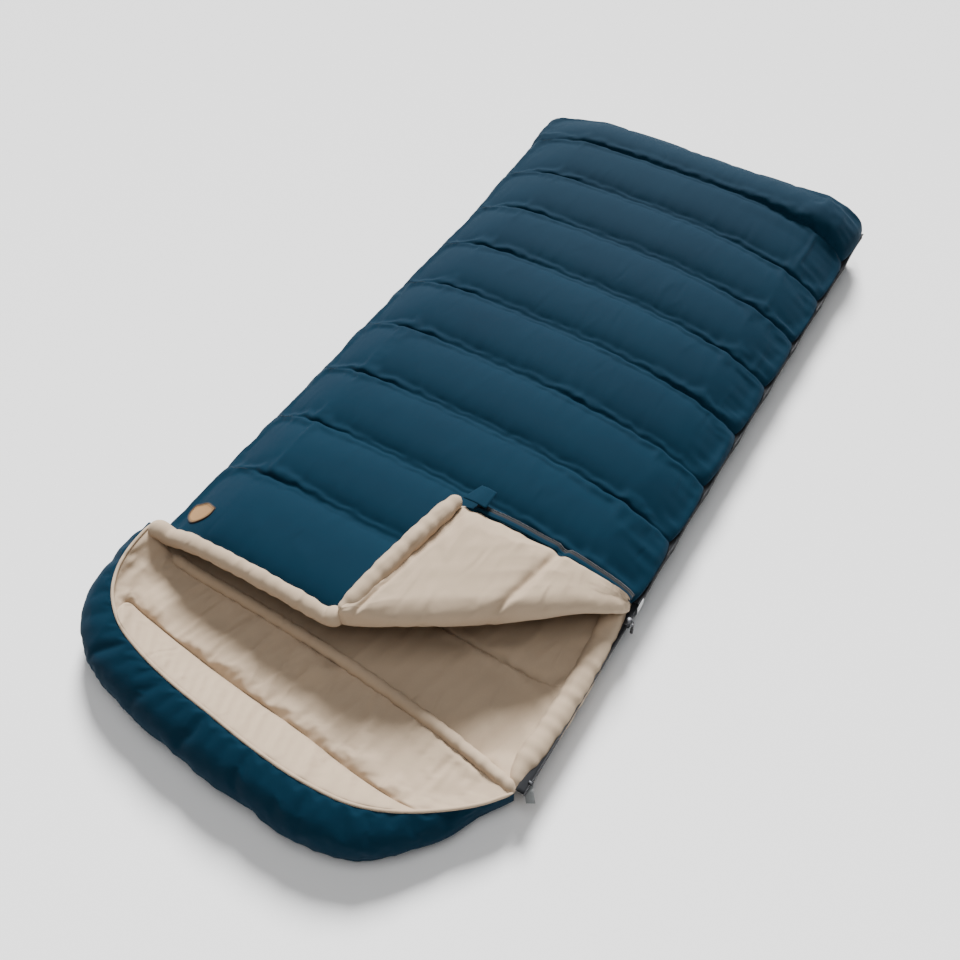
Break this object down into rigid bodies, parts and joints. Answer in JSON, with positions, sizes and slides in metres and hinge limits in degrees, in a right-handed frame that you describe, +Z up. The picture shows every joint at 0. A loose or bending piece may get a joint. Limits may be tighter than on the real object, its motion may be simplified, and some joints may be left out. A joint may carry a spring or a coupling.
{
  "type": "rectangular sleeping bag",
  "caption": "Rectangular quilted sleeping bag with padded half-round hood, side and foot zip, and folded-back corner flap.",
  "frame": {"origin": "on the floor under the middle of the quilted body, at the flat underside", "axes": "+Z up, +Y towards the foot end, +X towards the zip side"},
  "size_m": [0.9395, 1.9975, 0.2213],
  "materials": {
    "shell_navy": "brushed polyester shell, soft matte",
    "lining_beige": "soft cotton-like lining, matte",
    "batting": "hollow-fibre batting, hidden",
    "zip_tape": "woven black tape",
    "zip_coil": "black nylon coil",
    "zip_metal": "dark lacquered zinc",
    "puller_dark": "gunmetal lacquer, worn edges",
    "hook_pad": "moulded hooks",
    "grip_webbing": "woven grey tape",
    "label_cloth": "blank satin label",
    "badge_tan": "debossed tan leather, no mark"
  },
  "bodies": {
    "bottom_panel": {"bottom_shell": "shell_navy", "bottom_batting_01": "batting", "bottom_batting_02": "batting", "bottom_batting_03": "batting", "bottom_batting_04": "batting", "bottom_batting_05": "batting", "bottom_batting_06": "batting", "bottom_batting_07": "batting", "bottom_batting_08": "batting", "bottom_batting_09": "batting", "bottom_batting_10": "batting", "bottom_lining": "lining_beige", "draft_tube": "lining_beige", "neck_tube": "lining_beige", "side_seam_piping": "shell_navy", "side_zip_tape_lower": "zip_tape", "side_zip_coil_lower": "zip_coil", "foot_zip_tape_lower": "zip_tape", "foot_zip_coil_lower": "zip_coil", "zip_end_stop": "zip_metal", "zip_grip_tab": "grip_webbing", "care_label": "label_cloth"},
    "top_panel": {"top_shell": "shell_navy", "top_batting_01": "batting", "top_batting_02": "batting", "top_batting_03": "batting", "top_batting_04": "batting", "top_batting_05": "batting", "top_batting_06": "batting", "top_batting_07": "batting", "top_batting_08": "batting", "top_batting_09": "batting", "top_batting_10": "batting", "top_lining": "lining_beige", "head_collar_tube": "lining_beige", "badge": "badge_tan", "side_zip_tape_upper": "zip_tape", "side_zip_coil_upper": "zip_coil", "foot_zip_tape_upper": "zip_tape", "foot_zip_coil_upper": "zip_coil"},
    "corner_flap": {"flap_shell": "shell_navy", "flap_batting": "batting", "flap_lining": "lining_beige", "flap_collar_tube": "lining_beige", "flap_zip_strip": "shell_navy", "flap_zip_tape": "zip_tape", "flap_zip_coil": "zip_coil"},
    "zip_tab": {"garage_tab": "shell_navy", "garage_tab_hook": "hook_pad"},
    "hood": {"hood_shell": "shell_navy", "hood_ring_batting": "batting", "hood_floor_batting": "batting", "hood_lining": "lining_beige", "hood_rim_piping": "lining_beige"},
    "side_slider": {"head_slider": "zip_metal"},
    "side_puller": {"head_puller": "puller_dark"},
    "end_slider": {"foot_slider": "zip_metal"},
    "end_puller": {"foot_puller": "puller_dark"}
  },
  "joints": [
    {"name": "top_panel_open", "type": "hinge", "parent": "bottom_panel", "child": "top_panel", "pos_m": [-0.43, 0, 0.075], "axis": [0, -1, 0], "range_deg": [0, 160]},
    {"name": "corner_unfold", "type": "hinge", "parent": "top_panel", "child": "corner_flap", "pos_m": [0.02, -0.655, 0.195], "axis": [0.7514, 0.6323, -0.1888], "range_deg": [0, 140]},
    {"name": "zip_tab_lift", "type": "hinge", "parent": "corner_flap", "child": "zip_tab", "pos_m": [0.101, -0.33, 0.206], "axis": [1, 0, 0], "range_deg": [0, 90]},
    {"name": "hood_fold_up", "type": "hinge", "parent": "bottom_panel", "child": "hood", "pos_m": [0, -0.702, 0.05], "axis": [-1, 0, 0], "range_deg": [0, 60]},
    {"name": "side_slider_run", "type": "slide", "parent": "bottom_panel", "child": "side_slider", "axis": [0, 1, 0], "range_m": [-0.35, 1.28]},
    {"name": "side_puller_swing", "type": "hinge", "parent": "side_slider", "child": "side_puller", "pos_m": [0.452, -0.33, 0.0697], "axis": [0, -1, 0], "range_deg": [0, 120]},
    {"name": "end_slider_run", "type": "slide", "parent": "bottom_panel", "child": "end_slider", "axis": [-1, 0, 0], "range_m": [0, 0.82]},
    {"name": "end_puller_swing", "type": "hinge", "parent": "end_slider", "child": "end_puller", "pos_m": [0.424, 1.012, 0.0697], "axis": [1, 0, 0], "range_deg": [0, 120]}
  ]
}
